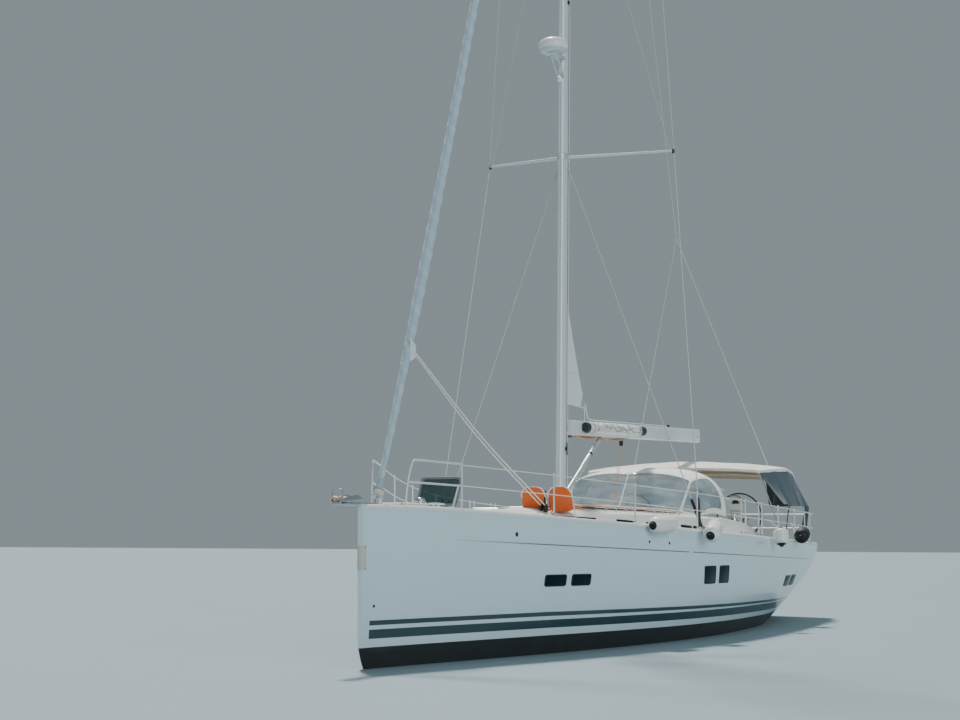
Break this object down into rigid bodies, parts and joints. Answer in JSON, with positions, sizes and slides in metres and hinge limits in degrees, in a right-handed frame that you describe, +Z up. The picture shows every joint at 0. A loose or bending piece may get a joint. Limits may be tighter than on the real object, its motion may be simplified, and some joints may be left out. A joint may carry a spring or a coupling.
{
  "type": "sailing yacht",
  "caption": "Cruising sloop afloat, with fin keel, twin wheels, furled headsail, boom, sprayhood, bimini and guard rails.",
  "frame": {"origin": "on the centreline amidships, at the waterline", "axes": "+X to the bow, +Y to port, +Z up"},
  "size_m": [17.31, 5.513, 26.8935],
  "materials": {
    "hull": "white gelcoat with dark stripes over black antifouling",
    "deck": "off-white moulded deck",
    "teak": "oiled wood",
    "keel": "black antifouling",
    "bronze": "cast bronze",
    "stainless": "polished stainless tube",
    "wire": "stainless wire",
    "spar": "silver anodised",
    "boom": "white painted section",
    "sail": "sailcloth",
    "black_plastic": "black moulding",
    "radar": "white dome",
    "tinted_glass": "dark tinted acrylic",
    "canvas": "off-white canvas",
    "curtain": "dark blue-grey canvas",
    "fender": "white inflated vinyl with black ends",
    "orange_cloth": "orange padded cloth",
    "tan_cloth": "tan padded cloth"
  },
  "bodies": {
    "yacht": {"hull": "hull", "coachroof": "deck", "coaming_port": "deck", "coaming_stbd": "deck", "cockpit_table": "teak", "keel_fin": "keel", "keel_bulb": "keel", "saildrive_leg": "keel", "wheel_pedestal_port": "deck", "wheel_pedestal_stbd": "deck", "mast": "spar", "spreaders_lower": "spar", "spreaders_upper": "spar", "headsail_furled": "sail", "furler_drum": "black_plastic", "shroud_cap_port": "wire", "shroud_cap_stbd": "wire", "shroud_lower_port": "wire", "shroud_lower_stbd": "wire", "shroud_upper_port": "wire", "shroud_upper_stbd": "wire", "shroud_mid_port": "wire", "shroud_mid_stbd": "wire", "backstay_upper": "wire", "backstay_port": "wire", "backstay_stbd": "wire", "radar": "radar", "bow_roller": "stainless", "windlass": "stainless", "pulpit_port": "stainless", "pulpit_stbd": "stainless", "lifelines_port": "stainless", "lifelines_stbd": "stainless", "pushpit_port": "stainless", "pushpit_stbd": "stainless", "sprayhood": "canvas", "bimini": "canvas", "bimini_bow_fore": "stainless", "bimini_bow_aft": "stainless", "bimini_curtain": "curtain", "fender_1": "fender", "fender_2": "fender", "fender_3": "fender", "fender_4": "fender", "deck_chair_1": "orange_cloth", "deck_chair_2": "orange_cloth", "roof_cushion_fore": "tan_cloth", "roof_cushion_aft": "tan_cloth"},
    "boom_set": {"boom": "boom", "vang": "spar", "mainsail_clew": "sail", "boom_bundle": "sail"},
    "rudder_blade": {"rudder": "keel"},
    "wheel_port": {"helm_wheel_port": "stainless"},
    "wheel_stbd": {"helm_wheel_stbd": "stainless"},
    "propeller": {"propeller": "bronze"},
    "fore_hatch": {"fore_hatch_lid": "tinted_glass"},
    "locker_lid": {"anchor_locker_lid": "deck"},
    "slide_hatch": {"companionway_slide": "tinted_glass"},
    "platform": {"bathing_platform": "hull"}
  },
  "joints": [
    {"name": "boom_swing", "type": "hinge", "parent": "yacht", "child": "boom_set", "pos_m": [0.84092, 0, 3.42], "axis": [-0.024, 0, 0.9997], "range_deg": [-70, 70]},
    {"name": "rudder_turn", "type": "hinge", "parent": "yacht", "child": "rudder_blade", "pos_m": [-6.65, 0, -0.5], "axis": [0, 0, 1], "range_deg": [-35, 35]},
    {"name": "wheel_port_turn", "type": "hinge", "parent": "yacht", "child": "wheel_port", "pos_m": [-6.41, 1.12, 2.06], "axis": [1, 0, 0], "range_deg": [-285, 285]},
    {"name": "wheel_stbd_turn", "type": "hinge", "parent": "yacht", "child": "wheel_stbd", "pos_m": [-6.41, -1.12, 2.06], "axis": [1, 0, 0], "range_deg": [-285, 285]},
    {"name": "propeller_spin", "type": "hinge", "parent": "yacht", "child": "propeller", "pos_m": [-2.4, 0, -1.13], "axis": [1, 0, 0], "continuous": true},
    {"name": "fore_hatch_hinge", "type": "hinge", "parent": "yacht", "child": "fore_hatch", "pos_m": [6.08, 0, 1.99704], "axis": [0, 1, 0], "range_deg": [-65, 25]},
    {"name": "locker_lid_hinge", "type": "hinge", "parent": "yacht", "child": "locker_lid", "pos_m": [7.47, 0, 2.02775], "axis": [0, 1, 0], "range_deg": [0, 80]},
    {"name": "companionway_slide_run", "type": "slide", "parent": "yacht", "child": "slide_hatch", "axis": [-1, 0, 0], "range_m": [0, 0.96]},
    {"name": "platform_fold", "type": "hinge", "parent": "yacht", "child": "platform", "pos_m": [-8.367, 0, 0.43], "axis": [0, -1, 0], "range_deg": [0, 90]}
  ],
  "couplings": [
    {"joint": "wheel_port_turn", "follows": "rudder_turn", "ratio": 8},
    {"joint": "wheel_stbd_turn", "follows": "rudder_turn", "ratio": 8}
  ]
}
